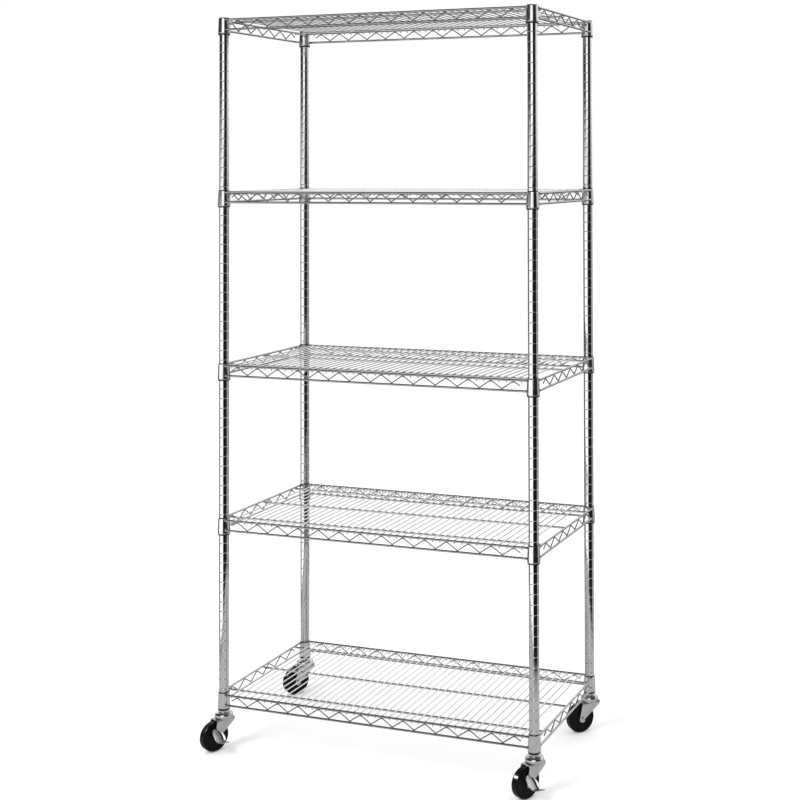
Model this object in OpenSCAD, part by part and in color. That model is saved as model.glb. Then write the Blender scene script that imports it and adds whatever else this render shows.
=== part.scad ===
// Wire shelving rack: four grooved posts, five wire shelves on tapered collars, four swivel casters.
// Frame: origin on the floor, midway between the posts. +X to the right, +Y to the rear, +Z up.

/* [Rack] */
// Distance between the left and right post axes
span_x = 876; // [516:60:1056]
// Distance between the front and rear post axes
span_y = 419; // [360:1:560]
// Height of the bottom shelf's upper rod above the floor
shelf_base_z = 141; // [141:1:200]
// Grooves from each shelf up to the next, from the bottom
shelf_steps = [18, 16, 18, 18];

/* [Posts] */
// Outside diameter of a post
post_d = 25.4; // [25:0.1:26]
// Wall of the post tube
post_wall = 1.2; // [1:0.1:2]
// Distance between grooves
groove_pitch = 25.4; // [20:0.1:30]
// Depth of a groove
groove_depth = 0.5; // [0.3:0.1:0.8]
// Width of a groove
groove_w = 2.2; // [1.6:0.2:3]

/* [Shelves] */
// Diameter of the perimeter rods and the stiffeners
rod_d = 5.6; // [5:0.2:6.4]
// Distance between the centres of the upper and lower rods
rod_gap = 26; // [24:1:28]
// How far the rods run outside the line between two post axes
rod_offset = 11.4; // [11:0.1:12]
// Diameter of the zigzag wire between the rods
truss_d = 3.2; // [2.8:0.2:3.6]
// Distance between two peaks of the front and rear zigzags
truss_pitch_x = 60; // [56:1:64]
// Number of peaks on a side zigzag
truss_peaks_y = 6; // [5:1:8]
// Diameter of the deck wires
deck_d = 3.4; // [3:0.2:4]
// Deck wires in each zigzag period
deck_per_truss = 3; // [2:1:4]
// Distance of the outer stiffeners from the line of the post axes
stiffener_inset = 38; // [30:1:60]

/* [Collars] */
// Top of a collar above the upper rod's centre
collar_rise = 4; // [3:0.5:5]
// Height of a collar
collar_h = 41; // [40:0.5:43]
// Outside diameter of a collar at its top
collar_top_d = 29.6; // [29.4:0.1:30]
// Outside diameter of a collar at its bottom
collar_bottom_d = 32.6; // [32:0.1:33]
// Wall of a collar
collar_wall = 1.2; // [1:0.1:1.4]

/* [Casters] */
// Wheel diameter
wheel_d = 76; // [70:1:76]
// Wheel width
wheel_w = 25; // [22:1:26]
// Distance of the wheel axis from the swivel axis
trail = 30; // [24:1:32]
// Thickness of the fork plate
fork_t = 2.5; // [2:0.1:3]
// Directions in which the casters trail: front left, front right, rear left, rear right
trail_dirs = [-114, -116, -121, -132];

/* [Hidden] */
$fn = 32;

eps = 0.01;
run_gap = 0.05;        // radial clearance of a running fit
plug_gap = 0.02;       // radial clearance of a plug in a post
thread_gap = 0.15;     // radial clearance of a stem in its socket
seat_gap = 0.02;       // clearance of two faces that rest on each other
weld_sink = 0.3;       // how deep a welded wire sinks into the next one

// Posts, in the order of trail_dirs
corners = [
    [-span_x / 2, -span_y / 2],
    [span_x / 2, -span_y / 2],
    [-span_x / 2, span_y / 2],
    [span_x / 2, span_y / 2],
];
post_r = post_d / 2;
post_bore_r = post_r - post_wall;
post_bottom_z = 100;
groove_drop = 10.6;    // from a shelf's upper rod down to the groove that holds it

// Height of each shelf's upper rod, from the bottom shelf up
function step_sum(k) = k == 0 ? 0 : shelf_steps[k - 1] + step_sum(k - 1);
shelf_z = [for (k = [0:4]) shelf_base_z + step_sum(k) * groove_pitch];
post_top_z = shelf_z[4] + 3;
first_groove_z = shelf_base_z - groove_drop - groove_pitch;
groove_count = step_sum(4) + 2;

// Cones of a collar, its sleeve and the weld line inside its wall
collar_bottom = collar_rise - collar_h;
collar_in_top_r = collar_top_d / 2 - collar_wall;
collar_in_bottom_r = collar_bottom_d / 2 - collar_wall;
taper = (collar_in_bottom_r - collar_in_top_r) / collar_h;
sleeve_over = 2;       // how far a sleeve shows above its collar
sleeve_under = 3;      // how far a sleeve shows below its collar
sleeve_split = 0.4;    // gap between the two halves of a sleeve

// Rods and wires
rod_r = rod_d / 2;
truss_r = truss_d / 2;
deck_r = deck_d / 2;
deck_z = rod_r - deck_r;
stiffener_z = deck_z - deck_r - rod_r + weld_sink;
truss_top = -(rod_r + truss_r - weld_sink);
truss_bottom = -rod_gap + rod_r + truss_r - weld_sink;
front_y = span_y / 2 + rod_offset;
side_x = span_x / 2 + rod_offset;
peaks_x = round((span_x - 96) / truss_pitch_x) + 1;
first_peak_x = (span_x - (peaks_x - 1) * truss_pitch_x) / 2;
first_peak_y = 56;
truss_pitch_y = (span_y - 2 * first_peak_y) / (truss_peaks_y - 1);
deck_pitch = truss_pitch_x / deck_per_truss;
deck_count = peaks_x * deck_per_truss;
first_deck_x = (span_x - (deck_count - 1) * deck_pitch) / 2;

// Caster heights and sizes, in a frame whose +X trails and whose +Y faces outward
wheel_r = wheel_d / 2;
crown_top = 80.5;
crown_bottom = crown_top - fork_t;
crown_back = -24;
crown_front = 29;
leg_in_y = wheel_w / 2 + 1.5;
leg_out_y = leg_in_y + fork_t;
leg_end_r = 9;
cap_top = 96;
cap_r = 23.5;
kingpin_r = 6;
stem_r = 4.76;
stem_len = 24;
ball_r = 2;
ball_ring_r = 15;
ball_count = 12;
ball_gap = 0.1;        // from a ball to each race
axle_r = 4;
axle_gap = 0.03;       // radial clearance of the bolt in its bush and nut
bush_r = 6;
pin_r = 1.5;
pin_y = leg_out_y + 5.5;
cheek_r = pin_y - leg_out_y - 0.1;
lever_t = 2;

// ---- Posts -----------------------------------------------------------------

// Outer edge of one groove, from its lower lip to its upper lip
function groove_edge(z) = [
    [post_r, z - groove_w / 2],
    [post_r - groove_depth, z - groove_w / 4],
    [post_r - groove_depth, z + groove_w / 4],
    [post_r, z + groove_w / 2],
];

module post(corner) {
    grooves = [for (n = [0:groove_count - 1]) each groove_edge(first_groove_z + n * groove_pitch)];
    outline = concat(
        [[post_bore_r, post_bottom_z], [post_r, post_bottom_z]],
        grooves,
        [[post_r, post_top_z], [post_bore_r, post_top_z]]
    );
    color("silver") translate(corner) rotate_extrude() polygon(outline);
}

// Domed plug in the top of each post
module post_caps() {
    dome_r = post_r - 0.2;
    dome_h = 3.4;
    sphere_r = (dome_r * dome_r + dome_h * dome_h) / (2 * dome_h);
    shank_h = 12;
    color("dimgray") for (c = corners) translate([c.x, c.y, post_top_z]) {
        intersection() {
            translate([0, 0, dome_h - sphere_r]) sphere(sphere_r, $fn = 96);
            cylinder(r = dome_r, h = dome_h + 1);
        }
        translate([0, 0, -shank_h]) cylinder(r = post_bore_r - plug_gap, h = shank_h + eps);
    }
}

// Pressed plug with a threaded hole in the bottom of each post
module stem_sockets() {
    flange_r = 15;
    plug_h = stem_len + 8;
    bore_h = stem_len + 2;
    color("lightgray") for (c = corners) translate([c.x, c.y, cap_top]) difference() {
        union() {
            cylinder(r = flange_r, h = post_bottom_z - cap_top);
            cylinder(r = post_bore_r - plug_gap, h = plug_h);
        }
        translate([0, 0, -1]) cylinder(r = stem_r + thread_gap, h = bore_h + 1);
    }
}

// Tapered half shell with a flared lower lip and a rib that sits in a groove
module sleeve_half() {
    draft = 0.1;       // how much wider the bore is at both ends than at the rib
    lip = 0.8;         // how far the lower lip stands out
    lip_gap = 0.3;     // from the lip up to the collar
    rib_base = 0.9;    // half height of the rib at the sleeve
    rib_tip = 0.4;     // half height of the rib in the groove
    cut = 30;
    top = collar_rise + sleeve_over;
    bottom = collar_bottom - sleeve_under;
    top_r = collar_in_top_r - run_gap - taper * sleeve_over;
    bottom_r = collar_in_bottom_r - run_gap;
    bore_r = post_r + run_gap;
    rib_r = post_r - groove_depth + run_gap;
    outline = [
        [bore_r + draft, bottom],
        [bottom_r + lip, bottom],
        [bottom_r + lip, collar_bottom - lip_gap],
        [bottom_r, collar_bottom - lip_gap],
        [bottom_r, collar_bottom],
        [top_r, top],
        [bore_r + draft, top],
        [bore_r, -groove_drop + rib_base],
        [rib_r, -groove_drop + rib_tip],
        [rib_r, -groove_drop - rib_tip],
        [bore_r, -groove_drop - rib_base],
    ];
    difference() {
        rotate_extrude() polygon(outline);
        translate([-cut, -cut + sleeve_split / 2, bottom - 1]) cube([2 * cut, cut, top - bottom + 2]);
    }
}

// Two half shells at each corner of one shelf
module level_sleeves(z) {
    color([0.08, 0.08, 0.08]) for (c = corners) translate([c.x, c.y, z]) {
        sleeve_half();
        rotate([0, 0, 180]) sleeve_half();
    }
}

// ---- Shelves ---------------------------------------------------------------

// Cone that cuts the rods off inside the wall of each collar
module collar_seat() {
    above = 10;
    wall_mid = collar_wall / 2;
    top_r = collar_in_top_r + wall_mid - taper * above;
    bottom_r = collar_in_bottom_r + wall_mid;
    for (c = corners) translate([c.x, c.y, collar_bottom])
        cylinder(r1 = bottom_r, r2 = top_r, h = collar_h + above);
}

module rod_x(y, z, half_len) {
    translate([-half_len, y, z]) rotate([0, 90, 0]) cylinder(r = rod_r, h = 2 * half_len);
}

module rod_y(x, z, half_len) {
    translate([x, half_len, z]) rotate([90, 0, 0]) cylinder(r = rod_r, h = 2 * half_len);
}

module shelf_rods(z) {
    color("gainsboro") translate([0, 0, z]) difference() {
        for (level = [0, -rod_gap]) {
            for (side = [-1, 1]) {
                rod_x(side * front_y, level, span_x / 2);
                rod_y(side * side_x, level, span_y / 2);
            }
        }
        collar_seat();
    }
}

// Zigzag wire, drawn as a flat bar as thick as the wire: a short tail, peaks, and a short tail
module truss_wire(span, first_peak, pitch, peaks) {
    slope = atan2(truss_top - truss_bottom, pitch / 2);
    mitre = truss_r / cos(slope);
    first = -span / 2 + first_peak;
    tail = [pitch / 4, (truss_top - truss_bottom) / 2];
    square_end = truss_r * [-sin(slope), cos(slope)];
    start = [first, truss_top] - tail;
    turns = [for (n = [0:2 * peaks - 2]) [first + n * pitch / 2, n % 2 == 0 ? truss_top : truss_bottom]];
    upper = concat([start + square_end], [for (p = turns) p + [0, mitre]]);
    lower = concat([start - square_end], [for (p = turns) p - [0, mitre]]);
    upper_end = [[-upper[0].x, upper[0].y]];
    lower_back = concat([[-lower[0].x, lower[0].y]], [for (n = [len(lower) - 1:-1:0]) lower[n]]);
    translate([0, truss_r, 0]) rotate([90, 0, 0])
        linear_extrude(truss_d) polygon(concat(upper, upper_end, lower_back));
}

module shelf_truss(z) {
    color("gainsboro") translate([0, 0, z]) for (side = [-1, 1]) {
        translate([0, side * front_y, 0]) truss_wire(span_x, first_peak_x, truss_pitch_x, peaks_x);
        translate([side * side_x, 0, 0]) rotate([0, 0, 90])
            truss_wire(span_y, first_peak_y, truss_pitch_y, truss_peaks_y);
    }
}

module shelf_deck(z) {
    stiffener_y = span_y / 2 - stiffener_inset;
    color("whitesmoke") translate([0, 0, z]) {
        for (n = [0:deck_count - 1])
            translate([-span_x / 2 + first_deck_x + n * deck_pitch, front_y - 1, deck_z]) rotate([90, 0, 0])
                cylinder(r = deck_r, h = 2 * (front_y - 1));
        for (y = [-stiffener_y, 0, stiffener_y])
            rod_x(y, stiffener_z, side_x - rod_r + 1);
    }
}

module shelf_collars(z) {
    lip = 2.6;   // radius of the rounded lower edge
    rim = 0.8;   // radius of the rounded upper edge
    out_top = collar_top_d / 2;
    out_bottom = collar_bottom_d / 2;
    top = collar_rise;
    arc = [for (a = [0:15:90]) [out_bottom - lip + lip * sin(a), collar_bottom + lip - lip * cos(a)]];
    rim_arc = [for (a = [0:30:90]) [out_top - rim + rim * cos(a), top - rim + rim * sin(a)]];
    outline = concat(
        [[collar_in_top_r, top], [collar_in_bottom_r, collar_bottom]],
        arc,
        rim_arc
    );
    color("gainsboro") for (c = corners) translate([c.x, c.y, z]) rotate_extrude() polygon(outline);
}

// ---- Casters ---------------------------------------------------------------

module at_caster(i) {
    translate(corners[i]) rotate([0, 0, trail_dirs[i]]) children();
}

// Threaded stem, domed upper race and kingpin with its riveted head
module caster_stem() {
    head_gap = 0.1;                                   // from the rivet head to the crown
    cavity_top = crown_top + 2 * (ball_r + ball_gap);
    skirt_bottom = crown_top + 0.8;
    skirt_r = cap_r - 2.2;
    dome_x = 16;
    dome_z = 86;
    dome_h = cap_top - 2 - dome_z;
    dome = [for (a = [0:10:90]) [dome_x + (cap_r - dome_x) * cos(a), dome_z + dome_h * sin(a)]];
    outline = concat(
        [
            [0, cap_top + stem_len],
            [0, crown_bottom - 2.8],
            [8, crown_bottom - 2.2],
            [8.6, crown_bottom - head_gap],
            [kingpin_r, crown_bottom - head_gap],
            [kingpin_r, cavity_top],
            [skirt_r, cavity_top],
            [skirt_r, skirt_bottom],
            [cap_r, skirt_bottom],
        ],
        dome,
        [
            [13, cap_top - seat_gap],
            [stem_r, cap_top - seat_gap],
            [stem_r, cap_top + stem_len],
        ]
    );
    color("silver") rotate_extrude() polygon(outline);
}

module caster_balls() {
    color("slategray") for (n = [0:ball_count - 1]) rotate([0, 0, n * 360 / ball_count])
        translate([ball_ring_r, 0, crown_top + ball_gap + ball_r]) sphere(ball_r);
}

// Side plate of the fork: wide at the crown, tapering to a round end at the axle
module fork_leg() {
    outline = [
        [crown_back, crown_top],
        [crown_back + 0.5, crown_top - 9],
        [trail - 0.80 * leg_end_r, wheel_r - 0.60 * leg_end_r],
        [trail + 0.98 * leg_end_r, wheel_r - 0.17 * leg_end_r],
        [crown_front + 4, crown_top - 7],
        [crown_front, crown_top],
    ];
    rotate([90, 0, 0]) linear_extrude(fork_t) difference() {
        union() {
            polygon(outline);
            translate([trail, wheel_r]) circle(leg_end_r);
        }
        translate([trail, wheel_r]) circle(axle_r + run_gap);
    }
}

module caster_fork() {
    crown_r = 21;
    color("silver") {
        translate([0, leg_out_y, 0]) fork_leg();
        translate([0, -leg_in_y, 0]) fork_leg();
        translate([0, 0, crown_bottom]) linear_extrude(fork_t) difference() {
            union() {
                translate([crown_back, -leg_out_y]) square([crown_front - crown_back, 2 * leg_out_y]);
                circle(crown_r);
            }
            circle(kingpin_r + run_gap);
        }
    }
}

module at_axle() {
    translate([trail, 0, wheel_r]) rotate([-90, 0, 0]) children();
}

// Places a cylinder across the axle end, at distance y from the wheel's middle
module across_axle(y) {
    translate([trail, y, wheel_r]) rotate([0, 90, 0]) children();
}

// Wheel bolt with its nut: a plain head outside, or an eye for the brake pin
module caster_axle(braked) {
    nut_end = leg_out_y + 8;
    eye_end = pin_y + 4;
    head_r = 5.6;
    head_h = 3.6;
    color("lightgray") difference() {
        at_axle() {
            translate([0, 0, -nut_end]) cylinder(r = axle_r, h = nut_end + (braked ? eye_end : leg_out_y + 1));
            if (!braked) translate([0, 0, leg_out_y]) cylinder(r = head_r, h = head_h);
        }
        if (braked) across_axle(pin_y) cylinder(r = pin_r, h = 4 * axle_r, center = true);
    }
    axle_nut();
}

module caster_bush() {
    half_len = leg_in_y - run_gap;
    color("gray") at_axle() difference() {
        translate([0, 0, -half_len]) cylinder(r = bush_r, h = 2 * half_len);
        translate([0, 0, -half_len - 1]) cylinder(r = axle_r + axle_gap, h = 2 * half_len + 2);
    }
}

module axle_nut() {
    nut_r = 7.5;
    nut_h = 6;
    color("lightgray") at_axle() translate([0, 0, -leg_out_y - nut_h - seat_gap]) difference() {
        cylinder(r = nut_r, h = nut_h, $fn = 6);
        translate([0, 0, -1]) cylinder(r = axle_r + axle_gap, h = nut_h + 2);
    }
}

// Solid wheel with a rounded tread and a raised hub
module caster_wheel() {
    half_w = wheel_w / 2;
    round_r = 6;
    hub_r = 13;
    hub_h = 2;
    bore_r = bush_r + run_gap;
    web_z = half_w - hub_h;
    arc = [for (a = [0:10:90]) [wheel_r - round_r + round_r * cos(a), web_z - round_r + round_r * sin(a)]];
    lower = [for (n = [len(arc) - 1:-1:0]) [arc[n].x, -arc[n].y]];
    outline = concat(
        [[bore_r, -half_w], [hub_r, -half_w], [hub_r + 1, -web_z]],
        lower,
        arc,
        [[hub_r + 1, web_z], [hub_r, half_w], [bore_r, half_w]]
    );
    color([0.05, 0.05, 0.05]) at_axle() rotate_extrude($fn = 64) polygon(outline);
}

module caster_brake_pin() {
    pin_len = 15;
    color("lightgray") across_axle(pin_y) cylinder(r = pin_r - plug_gap, h = pin_len, center = true);
}

// Stamped lever: two cheeks on the pin, a dished plate over the axle end and a pedal
module caster_brake_lever() {
    cheek_t = 2;
    cheek_x = axle_r + 0.2;
    dish_half = 11;
    pedal_half = 7;
    dish = [
        [leg_out_y + 1.6, 60],
        [leg_out_y + 7, 50],
        [pin_y + 6.5, 40],
        [pin_y + 11, 31],
        [pin_y + 17, 27],
        [pin_y + 17, 27 + lever_t * 1.1],
        [pin_y + 12.3, 31 + lever_t],
        [pin_y + 8.5, 40.6],
        [leg_out_y + 8.8, 51],
        [leg_out_y + 3.4, 61],
    ];
    pedal = [
        [pin_y + 16, 27],
        [pin_y + 40, 33],
        [pin_y + 40, 33 + lever_t],
        [pin_y + 16, 27 + lever_t],
    ];
    cheek = [
        [pin_y - 2, wheel_r + cheek_r - 1],
        [pin_y + 4, wheel_r + 9],
        [pin_y + 8, 39],
        [pin_y + 11, 32],
        [pin_y + 2, wheel_r - cheek_r],
    ];
    color("silver") difference() {
        union() {
            translate([trail - dish_half, 0, 0]) rotate([90, 0, 90]) linear_extrude(2 * dish_half) polygon(dish);
            translate([trail - pedal_half, 0, 0]) rotate([90, 0, 90]) linear_extrude(2 * pedal_half) polygon(pedal);
            for (x = [-cheek_x - cheek_t, cheek_x]) translate([trail + x, 0, 0]) rotate([90, 0, 90])
                linear_extrude(cheek_t) {
                    polygon(cheek);
                    translate([pin_y, wheel_r]) circle(cheek_r);
                }
        }
        across_axle(pin_y) cylinder(r = pin_r + run_gap, h = 4 * axle_r, center = true);
    }
}

// ---- Nodes -----------------------------------------------------------------

post(corners[0]);  // post_front_left
post(corners[1]);  // post_front_right
post(corners[2]);  // post_rear_left
post(corners[3]);  // post_rear_right
post_caps();
stem_sockets();
level_sleeves(shelf_z[0]);  // level_1_sleeves
level_sleeves(shelf_z[1]);  // level_2_sleeves
level_sleeves(shelf_z[2]);  // level_3_sleeves
level_sleeves(shelf_z[3]);  // level_4_sleeves
level_sleeves(shelf_z[4]);  // level_5_sleeves

shelf_rods(shelf_z[0]);  // shelf_1_rods
shelf_truss(shelf_z[0]);  // shelf_1_truss
shelf_deck(shelf_z[0]);  // shelf_1_deck
shelf_collars(shelf_z[0]);  // shelf_1_collars
shelf_rods(shelf_z[1]);  // shelf_2_rods
shelf_truss(shelf_z[1]);  // shelf_2_truss
shelf_deck(shelf_z[1]);  // shelf_2_deck
shelf_collars(shelf_z[1]);  // shelf_2_collars
shelf_rods(shelf_z[2]);  // shelf_3_rods
shelf_truss(shelf_z[2]);  // shelf_3_truss
shelf_deck(shelf_z[2]);  // shelf_3_deck
shelf_collars(shelf_z[2]);  // shelf_3_collars
shelf_rods(shelf_z[3]);  // shelf_4_rods
shelf_truss(shelf_z[3]);  // shelf_4_truss
shelf_deck(shelf_z[3]);  // shelf_4_deck
shelf_collars(shelf_z[3]);  // shelf_4_collars
shelf_rods(shelf_z[4]);  // shelf_5_rods
shelf_truss(shelf_z[4]);  // shelf_5_truss
shelf_deck(shelf_z[4]);  // shelf_5_deck
shelf_collars(shelf_z[4]);  // shelf_5_collars

at_caster(0) caster_stem();  // caster_front_left_stem
at_caster(0) caster_balls();  // caster_front_left_balls
at_caster(0) caster_fork();  // caster_front_left_fork
at_caster(0) caster_axle(true);  // caster_front_left_axle
at_caster(0) caster_bush();  // caster_front_left_bush
at_caster(0) caster_wheel();  // caster_front_left_wheel
at_caster(0) caster_brake_pin();  // caster_front_left_brake_pin
at_caster(0) caster_brake_lever();  // caster_front_left_brake_lever

at_caster(1) caster_stem();  // caster_front_right_stem
at_caster(1) caster_balls();  // caster_front_right_balls
at_caster(1) caster_fork();  // caster_front_right_fork
at_caster(1) caster_axle(true);  // caster_front_right_axle
at_caster(1) caster_bush();  // caster_front_right_bush
at_caster(1) caster_wheel();  // caster_front_right_wheel
at_caster(1) caster_brake_pin();  // caster_front_right_brake_pin
at_caster(1) caster_brake_lever();  // caster_front_right_brake_lever

at_caster(2) caster_stem();  // caster_rear_left_stem
at_caster(2) caster_balls();  // caster_rear_left_balls
at_caster(2) caster_fork();  // caster_rear_left_fork
at_caster(2) caster_axle(false);  // caster_rear_left_axle
at_caster(2) caster_bush();  // caster_rear_left_bush
at_caster(2) caster_wheel();  // caster_rear_left_wheel

at_caster(3) caster_stem();  // caster_rear_right_stem
at_caster(3) caster_balls();  // caster_rear_right_balls
at_caster(3) caster_fork();  // caster_rear_right_fork
at_caster(3) caster_axle(false);  // caster_rear_right_axle
at_caster(3) caster_bush();  // caster_rear_right_bush
at_caster(3) caster_wheel();  // caster_rear_right_wheel
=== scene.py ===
"""Looks of the wire shelving rack: chrome wire shelves on grooved posts, rolling on four casters.

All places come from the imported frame. Lengths in this script are millimetres unless a name ends in _m.
"""
import math
import random

import bmesh
import bpy
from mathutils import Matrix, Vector


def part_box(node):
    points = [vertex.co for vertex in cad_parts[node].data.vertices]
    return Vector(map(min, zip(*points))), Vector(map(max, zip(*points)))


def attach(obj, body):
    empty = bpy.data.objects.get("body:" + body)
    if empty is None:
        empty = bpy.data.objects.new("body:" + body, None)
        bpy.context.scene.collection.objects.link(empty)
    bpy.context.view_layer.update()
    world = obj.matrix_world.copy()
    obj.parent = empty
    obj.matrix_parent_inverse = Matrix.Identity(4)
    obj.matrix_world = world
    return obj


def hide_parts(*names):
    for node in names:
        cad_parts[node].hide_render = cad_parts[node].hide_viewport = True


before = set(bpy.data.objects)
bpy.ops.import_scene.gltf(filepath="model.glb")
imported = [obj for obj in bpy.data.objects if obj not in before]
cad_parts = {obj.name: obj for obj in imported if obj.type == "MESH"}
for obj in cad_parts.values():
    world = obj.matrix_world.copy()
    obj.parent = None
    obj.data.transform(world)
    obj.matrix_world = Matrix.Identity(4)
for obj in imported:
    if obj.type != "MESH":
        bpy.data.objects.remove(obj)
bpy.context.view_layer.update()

MM = 0.001
TAU = 2 * math.pi
NEAR_AXIS = 0.01  # radius at which a turned outline starts or ends, so that its faces keep their area
SHARP_ANGLE = math.radians(35)  # edges that bend more than this stay sharp
rng = random.Random(7)

# ---- Sizes that the frame gives ---------------------------------------------

CORNERS = ("front_left", "front_right", "rear_left", "rear_right")
SHELVES = (1, 2, 3, 4, 5)


def box_mm(node):
    """Lowest and highest corner of a CAD node, in millimetres."""
    low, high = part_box(node)
    return low / MM, high / MM


def centre_mm(node):
    low, high = box_mm(node)
    return (low + high) / 2


post_axis = {c: centre_mm("post_" + c).xy for c in CORNERS}
wheel_centre = {c: centre_mm(f"caster_{c}_wheel") for c in CORNERS}
trail_dir = {c: (wheel_centre[c].xy - post_axis[c]).normalized() for c in CORNERS}
post_low = box_mm("post_front_left")[0].z
post_high = box_mm("post_front_left")[1].z
half_x = post_axis["front_right"].x
half_y = post_axis["rear_right"].y

# ---- Sizes of the design ----------------------------------------------------

# Posts
POST_R, POST_BORE_R = 12.7, 11.5
GROOVE_PITCH, GROOVE_DEPTH, GROOVE_W = 25.4, 0.5, 2.2
GROOVE_DROP = 10.6  # from a shelf's upper rods down to the groove that holds it
SHANK_FIT = 0.1     # between a plug's shank and the bore of the post

# Rods and wires of a shelf
ROD_R, TRUSS_R, DECK_R = 2.8, 1.6, 1.7
ROD_GAP = 26.0      # from the upper rods down to the lower ones
ROD_OFFSET = 11.4   # from the post axes out to the rods
WELD_SINK = 0.3     # how far welded wires sink into each other
TRUSS_PITCH, DECKS_PER_TRUSS = 60.0, 3
TRUSS_MARGIN = 96.0  # what the first and last bend of the long zigzags leave free
SIDE_FIRST_PEAK, SIDE_PEAKS = 56.0, 6
STIFFENER_INSET = 38.0

# Collars and sleeves, measured from a shelf's upper rods
COLLAR_RISE, COLLAR_H, COLLAR_WALL = 4.0, 41.0, 1.2
COLLAR_BOTTOM = COLLAR_RISE - COLLAR_H
COLLAR_TOP_R, COLLAR_BOTTOM_R = 14.8, 16.3
COLLAR_IN_TOP_R = COLLAR_TOP_R - COLLAR_WALL
COLLAR_IN_BOTTOM_R = COLLAR_BOTTOM_R - COLLAR_WALL
SLEEVE_OVER, SLEEVE_UNDER = 2.0, 3.0

# Casters
CAP_TOP = 96.0      # underside of the flange below the post
CROWN_TOP, FORK_T = 80.5, 2.5
LEG_IN_Y = 14.0
LEG_OUT_Y = LEG_IN_Y + FORK_T
TRAIL = 30.0
PIN_Y = LEG_OUT_Y + 5.5
SHAFT_R = 3.95

shelf_z = {k: box_mm(f"shelf_{k}_rods")[1].z - ROD_R for k in SHELVES}
front_y = half_y + ROD_OFFSET
side_x = half_x + ROD_OFFSET
wheel_r = wheel_centre["front_left"].z

# ---- Mesh building ----------------------------------------------------------


class Builder:
    """Collects closed shells and turns them into one piece."""

    def __init__(self):
        self.verts = []
        self.faces = []

    def shell(self, rings, closed=False):
        """Joins rings of equal length; a closed shell runs back to its first ring, an open one gets caps."""
        start = len(self.verts)
        count = len(rings[0])
        for ring in rings:
            self.verts.extend(tuple(Vector(p) * MM) for p in ring)
        spans = len(rings) if closed else len(rings) - 1
        for i in range(spans):
            a = start + i * count
            b = start + ((i + 1) % len(rings)) * count
            for j in range(count):
                k = (j + 1) % count
                self.faces.append((a + j, a + k, b + k, b + j))
        if not closed:
            self.faces.append(tuple(start + j for j in reversed(range(count))))
            last = start + (len(rings) - 1) * count
            self.faces.append(tuple(last + j for j in range(count)))

    def grid(self, rows):
        """Adds an open sheet through rows of points."""
        start = len(self.verts)
        width = len(rows[0])
        for row in rows:
            self.verts.extend(tuple(p * MM) for p in row)
        for r in range(len(rows) - 1):
            for i in range(width - 1):
                a = start + r * width + i
                self.faces.append((a, a + 1, a + 1 + width, a + width))

    def lathe(self, outline, place, segments):
        """Turns a closed outline of (radius, height) about Z; place moves each point."""
        rings = []
        for s in range(segments):
            a = TAU * s / segments
            rings.append([place(Vector((r * math.cos(a), r * math.sin(a), z))) for r, z in outline])
        self.shell(rings, closed=True)

    def arc_lathe(self, outline, place, start, stop, segments):
        """Turns a closed outline through part of a circle and closes both ends."""
        rings = []
        for s in range(segments + 1):
            a = start + (stop - start) * s / segments
            rings.append([place(Vector((r * math.cos(a), r * math.sin(a), z))) for r, z in outline])
        self.shell(rings)

    def sweep(self, path, radius, sides):
        """Sweeps a circle along a path; radius is a number or a list with one value a point."""
        radii = radius if isinstance(radius, (list, tuple)) else [radius] * len(path)
        path = [Vector(p) for p in path]
        ahead = (path[1] - path[0]).normalized()
        normal = ahead.orthogonal().normalized()
        rings = []
        for i, p in enumerate(path):
            before = (p - path[i - 1]).normalized() if i > 0 else ahead
            after = (path[i + 1] - p).normalized() if i < len(path) - 1 else before
            tangent = (before + after).normalized()
            normal = (normal - tangent * normal.dot(tangent)).normalized()
            side = tangent.cross(normal)
            ring = []
            for j in range(sides):
                a = TAU * j / sides
                ring.append(p + (normal * math.cos(a) + side * math.sin(a)) * radii[i])
            rings.append(ring)
        self.shell(rings)

    def piece(self, name, material, body, slot, *nodes):
        """Makes the object, gives it its material and body, and lets it stand for CAD nodes."""
        mesh = bpy.data.meshes.new(name)
        mesh.from_pydata(self.verts, [], self.faces)
        mesh.validate()
        mesh.update()
        obj = bpy.data.objects.new(name, mesh)
        bpy.context.scene.collection.objects.link(obj)
        recalc_normals(obj)
        mesh.polygons.foreach_set("use_smooth", [True] * len(mesh.polygons))
        mesh.set_sharp_from_angle(angle=SHARP_ANGLE)
        mesh.materials.append(material)
        flatten_normals(obj)
        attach(obj, body)
        if nodes:
            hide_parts(*nodes)
        return obj


def flatten_normals(obj):
    """Keeps long faces flat in reflections, though they share smooth edges with grooves and fillets."""
    flat = obj.modifiers.new("normals", "WEIGHTED_NORMAL")
    flat.keep_sharp = True
    flat.weight = 100


def recalc_normals(obj):
    """Turns all faces of closed shells outward."""
    bm = bmesh.new()
    bm.from_mesh(obj.data)
    bmesh.ops.recalc_face_normals(bm, faces=bm.faces)
    bm.to_mesh(obj.data)
    bm.free()


STRAIGHT = 0.01  # half the turn, in radians, below which a corner is left as it is


def arc(cx, cy, r, start, stop, steps):
    """Points of an arc, angles in degrees."""
    points = []
    for i in range(steps + 1):
        a = math.radians(start + (stop - start) * i / steps)
        points.append((cx + r * math.cos(a), cy + r * math.sin(a)))
    return points


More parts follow.
